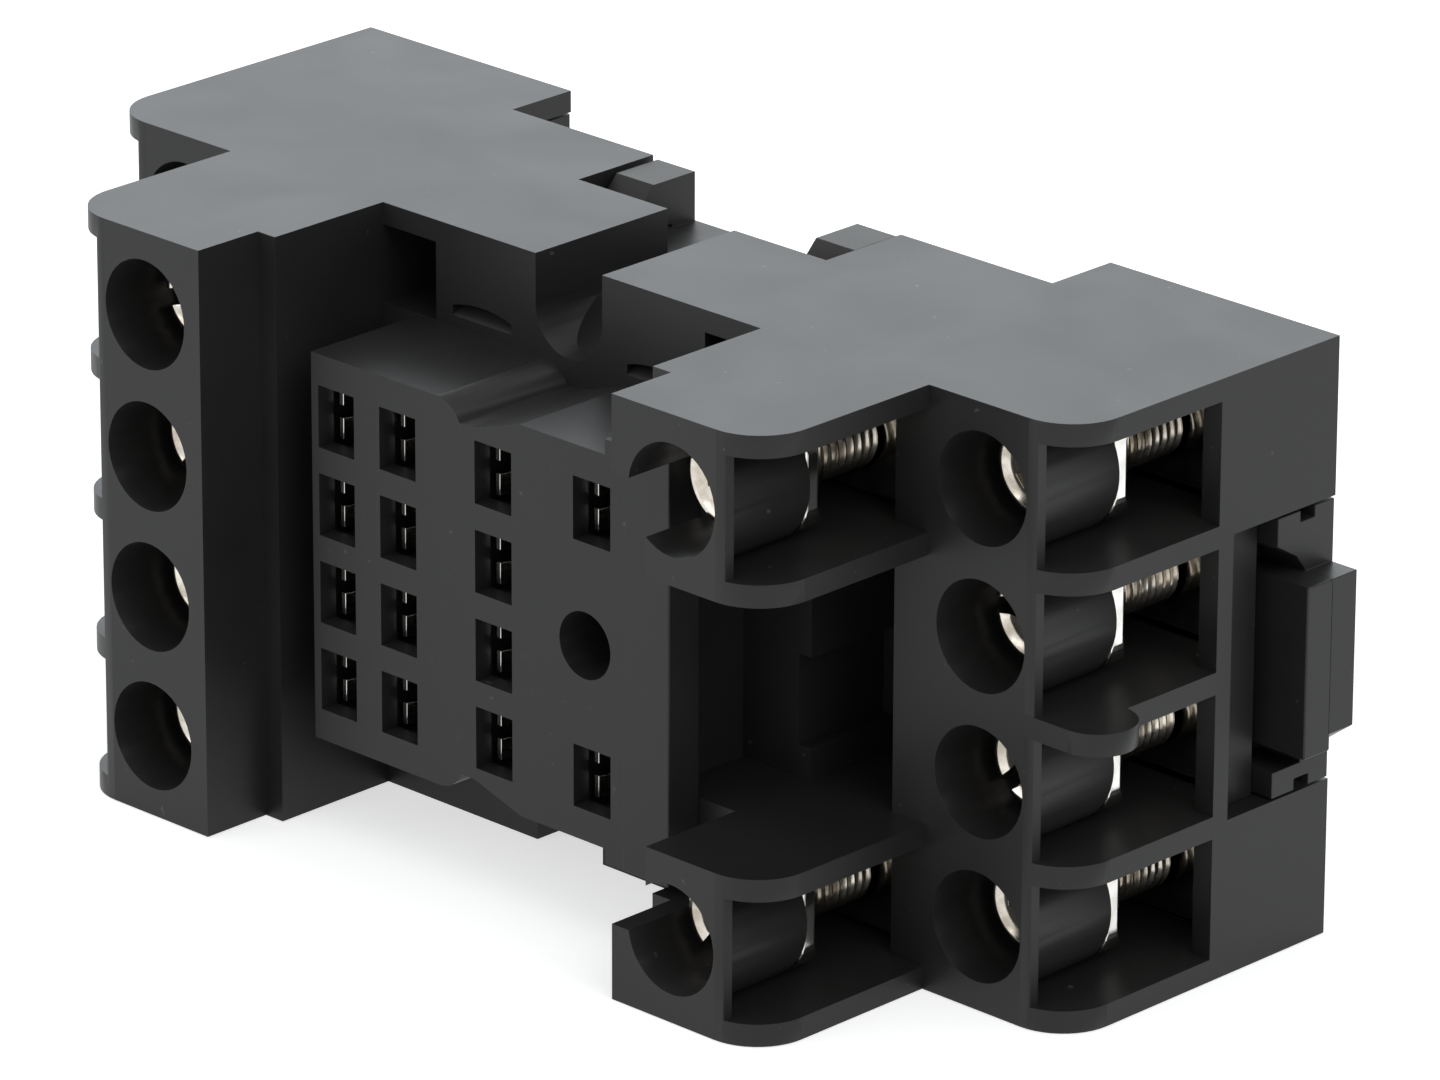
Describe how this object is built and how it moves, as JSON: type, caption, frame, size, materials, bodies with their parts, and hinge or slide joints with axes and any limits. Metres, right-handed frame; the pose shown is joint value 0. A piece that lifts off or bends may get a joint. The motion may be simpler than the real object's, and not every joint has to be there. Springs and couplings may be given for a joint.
{
  "type": "relay socket",
  "caption": "Rail-mounted plug-in relay socket: black two-tier housing with screw terminals, clamp plates, contact slots, rear base and a sprung rail latch.",
  "frame": {"origin": "centre of the bounding box of the part at rest, on the outer face of the lower side plate, which it lies on", "axes": "+X along the socket towards the rail latch, +Y from the relay side towards the rail side, +Z across the terminal rows, up as it lies"},
  "size_m": [0.065, 0.0286, 0.0295],
  "materials": {
    "housing_black": "satin moulded thermoplastic",
    "base_black": "satin moulded thermoplastic",
    "latch_black": "satin moulded thermoplastic",
    "spring_steel": "drawn spring wire",
    "terminal_metal": "tin-plated copper alloy",
    "clamp_metal": "zinc-plated steel",
    "screw_metal": "zinc-plated steel"
  },
  "bodies": {
    "socket": {"housing": "housing_black", "rear_base": "base_black", "break_terminal_1": "terminal_metal", "break_terminal_2": "terminal_metal", "break_terminal_3": "terminal_metal", "break_terminal_4": "terminal_metal", "make_terminal_1": "terminal_metal", "make_terminal_2": "terminal_metal", "make_terminal_3": "terminal_metal", "make_terminal_4": "terminal_metal", "common_terminal_1": "terminal_metal", "common_terminal_2": "terminal_metal", "common_terminal_3": "terminal_metal", "common_terminal_4": "terminal_metal", "coil_terminal_1": "terminal_metal", "coil_terminal_4": "terminal_metal"},
    "rail_latch": {"rail_latch": "latch_black", "latch_spring": "spring_steel"},
    "break_clamp_1": {"break_clamp_1": "clamp_metal"},
    "break_screw_1": {"break_screw_1": "screw_metal"},
    "break_clamp_2": {"break_clamp_2": "clamp_metal"},
    "break_screw_2": {"break_screw_2": "screw_metal"},
    "break_clamp_3": {"break_clamp_3": "clamp_metal"},
    "break_screw_3": {"break_screw_3": "screw_metal"},
    "break_clamp_4": {"break_clamp_4": "clamp_metal"},
    "break_screw_4": {"break_screw_4": "screw_metal"},
    "make_clamp_1": {"make_clamp_1": "clamp_metal"},
    "make_screw_1": {"make_screw_1": "screw_metal"},
    "make_clamp_2": {"make_clamp_2": "clamp_metal"},
    "make_screw_2": {"make_screw_2": "screw_metal"},
    "make_clamp_3": {"make_clamp_3": "clamp_metal"},
    "make_screw_3": {"make_screw_3": "screw_metal"},
    "make_clamp_4": {"make_clamp_4": "clamp_metal"},
    "make_screw_4": {"make_screw_4": "screw_metal"},
    "common_clamp_1": {"common_clamp_1": "clamp_metal"},
    "common_screw_1": {"common_screw_1": "screw_metal"},
    "common_clamp_2": {"common_clamp_2": "clamp_metal"},
    "common_screw_2": {"common_screw_2": "screw_metal"},
    "common_clamp_3": {"common_clamp_3": "clamp_metal"},
    "common_screw_3": {"common_screw_3": "screw_metal"},
    "common_clamp_4": {"common_clamp_4": "clamp_metal"},
    "common_screw_4": {"common_screw_4": "screw_metal"},
    "coil_clamp_1": {"coil_clamp_1": "clamp_metal"},
    "coil_screw_1": {"coil_screw_1": "screw_metal"},
    "coil_clamp_4": {"coil_clamp_4": "clamp_metal"},
    "coil_screw_4": {"coil_screw_4": "screw_metal"}
  },
  "joints": [
    {"name": "latch_pull", "type": "slide", "parent": "socket", "child": "rail_latch", "axis": [1, 0, 0], "range_m": [0, 0.0026], "stiffness_N_per_m": 600, "deforming": ["latch_spring"]},
    {"name": "break_clamp_1_slide", "type": "slide", "parent": "socket", "child": "break_clamp_1", "axis": [0, 1, 0], "range_m": [0, 0.0049]},
    {"name": "break_screw_1_turn", "type": "hinge", "parent": "break_clamp_1", "child": "break_screw_1", "pos_m": [-0.01812, -0.0087, 0.0041], "axis": [0, 1, 0], "range_deg": [0, 3528.01]},
    {"name": "break_clamp_2_slide", "type": "slide", "parent": "socket", "child": "break_clamp_2", "axis": [0, 1, 0], "range_m": [0, 0.0049]},
    {"name": "break_screw_2_turn", "type": "hinge", "parent": "break_clamp_2", "child": "break_screw_2", "pos_m": [-0.01812, -0.0087, 0.0112], "axis": [0, 1, 0], "range_deg": [0, 3528.01]},
    {"name": "break_clamp_3_slide", "type": "slide", "parent": "socket", "child": "break_clamp_3", "axis": [0, 1, 0], "range_m": [0, 0.0049]},
    {"name": "break_screw_3_turn", "type": "hinge", "parent": "break_clamp_3", "child": "break_screw_3", "pos_m": [-0.01812, -0.0087, 0.0183], "axis": [0, 1, 0], "range_deg": [0, 3528.01]},
    {"name": "break_clamp_4_slide", "type": "slide", "parent": "socket", "child": "break_clamp_4", "axis": [0, 1, 0], "range_m": [0, 0.0049]},
    {"name": "break_screw_4_turn", "type": "hinge", "parent": "break_clamp_4", "child": "break_screw_4", "pos_m": [-0.01812, -0.0087, 0.0254], "axis": [0, 1, 0], "range_deg": [0, 3528.01]},
    {"name": "make_clamp_1_slide", "type": "slide", "parent": "socket", "child": "make_clamp_1", "axis": [0, 1, 0], "range_m": [0, 0.0049]},
    {"name": "make_screw_1_turn", "type": "hinge", "parent": "make_clamp_1", "child": "make_screw_1", "pos_m": [-0.02697, 0.0021, 0.0041], "axis": [0, 1, 0], "range_deg": [0, 3528.01]},
    {"name": "make_clamp_2_slide", "type": "slide", "parent": "socket", "child": "make_clamp_2", "axis": [0, 1, 0], "range_m": [0, 0.0049]},
    {"name": "make_screw_2_turn", "type": "hinge", "parent": "make_clamp_2", "child": "make_screw_2", "pos_m": [-0.02697, 0.0021, 0.0112], "axis": [0, 1, 0], "range_deg": [0, 3528.01]},
    {"name": "make_clamp_3_slide", "type": "slide", "parent": "socket", "child": "make_clamp_3", "axis": [0, 1, 0], "range_m": [0, 0.0049]},
    {"name": "make_screw_3_turn", "type": "hinge", "parent": "make_clamp_3", "child": "make_screw_3", "pos_m": [-0.02697, 0.0021, 0.0183], "axis": [0, 1, 0], "range_deg": [0, 3528.01]},
    {"name": "make_clamp_4_slide", "type": "slide", "parent": "socket", "child": "make_clamp_4", "axis": [0, 1, 0], "range_m": [0, 0.0049]},
    {"name": "make_screw_4_turn", "type": "hinge", "parent": "make_clamp_4", "child": "make_screw_4", "pos_m": [-0.02697, 0.0021, 0.0254], "axis": [0, 1, 0], "range_deg": [0, 3528.01]},
    {"name": "common_clamp_1_slide", "type": "slide", "parent": "socket", "child": "common_clamp_1", "axis": [0, 1, 0], "range_m": [0, 0.0049]},
    {"name": "common_screw_1_turn", "type": "hinge", "parent": "common_clamp_1", "child": "common_screw_1", "pos_m": [0.02523, 0.0021, 0.0041], "axis": [0, 1, 0], "range_deg": [0, 3528.01]},
    {"name": "common_clamp_2_slide", "type": "slide", "parent": "socket", "child": "common_clamp_2", "axis": [0, 1, 0], "range_m": [0, 0.0049]},
    {"name": "common_screw_2_turn", "type": "hinge", "parent": "common_clamp_2", "child": "common_screw_2", "pos_m": [0.02523, 0.0021, 0.0112], "axis": [0, 1, 0], "range_deg": [0, 3528.01]},
    {"name": "common_clamp_3_slide", "type": "slide", "parent": "socket", "child": "common_clamp_3", "axis": [0, 1, 0], "range_m": [0, 0.0049]},
    {"name": "common_screw_3_turn", "type": "hinge", "parent": "common_clamp_3", "child": "common_screw_3", "pos_m": [0.02523, 0.0021, 0.0183], "axis": [0, 1, 0], "range_deg": [0, 3528.01]},
    {"name": "common_clamp_4_slide", "type": "slide", "parent": "socket", "child": "common_clamp_4", "axis": [0, 1, 0], "range_m": [0, 0.0049]},
    {"name": "common_screw_4_turn", "type": "hinge", "parent": "common_clamp_4", "child": "common_screw_4", "pos_m": [0.02523, 0.0021, 0.0254], "axis": [0, 1, 0], "range_deg": [0, 3528.01]},
    {"name": "coil_clamp_1_slide", "type": "slide", "parent": "socket", "child": "coil_clamp_1", "axis": [0, 1, 0], "range_m": [0, 0.0049]},
    {"name": "coil_screw_1_turn", "type": "hinge", "parent": "coil_clamp_1", "child": "coil_screw_1", "pos_m": [0.01638, -0.0087, 0.0041], "axis": [0, 1, 0], "range_deg": [0, 3528.01]},
    {"name": "coil_clamp_4_slide", "type": "slide", "parent": "socket", "child": "coil_clamp_4", "axis": [0, 1, 0], "range_m": [0, 0.0049]},
    {"name": "coil_screw_4_turn", "type": "hinge", "parent": "coil_clamp_4", "child": "coil_screw_4", "pos_m": [0.01638, -0.0087, 0.0254], "axis": [0, 1, 0], "range_deg": [0, 3528.01]}
  ],
  "couplings": [
    {"joint": "break_screw_1_turn", "follows": "break_clamp_1_slide", "rad_per_m": 12566},
    {"joint": "break_screw_2_turn", "follows": "break_clamp_2_slide", "rad_per_m": 12566},
    {"joint": "break_screw_3_turn", "follows": "break_clamp_3_slide", "rad_per_m": 12566},
    {"joint": "break_screw_4_turn", "follows": "break_clamp_4_slide", "rad_per_m": 12566},
    {"joint": "make_screw_1_turn", "follows": "make_clamp_1_slide", "rad_per_m": 12566},
    {"joint": "make_screw_2_turn", "follows": "make_clamp_2_slide", "rad_per_m": 12566},
    {"joint": "make_screw_3_turn", "follows": "make_clamp_3_slide", "rad_per_m": 12566},
    {"joint": "make_screw_4_turn", "follows": "make_clamp_4_slide", "rad_per_m": 12566},
    {"joint": "common_screw_1_turn", "follows": "common_clamp_1_slide", "rad_per_m": 12566},
    {"joint": "common_screw_2_turn", "follows": "common_clamp_2_slide", "rad_per_m": 12566},
    {"joint": "common_screw_3_turn", "follows": "common_clamp_3_slide", "rad_per_m": 12566},
    {"joint": "common_screw_4_turn", "follows": "common_clamp_4_slide", "rad_per_m": 12566},
    {"joint": "coil_screw_1_turn", "follows": "coil_clamp_1_slide", "rad_per_m": 12566},
    {"joint": "coil_screw_4_turn", "follows": "coil_clamp_4_slide", "rad_per_m": 12566}
  ]
}
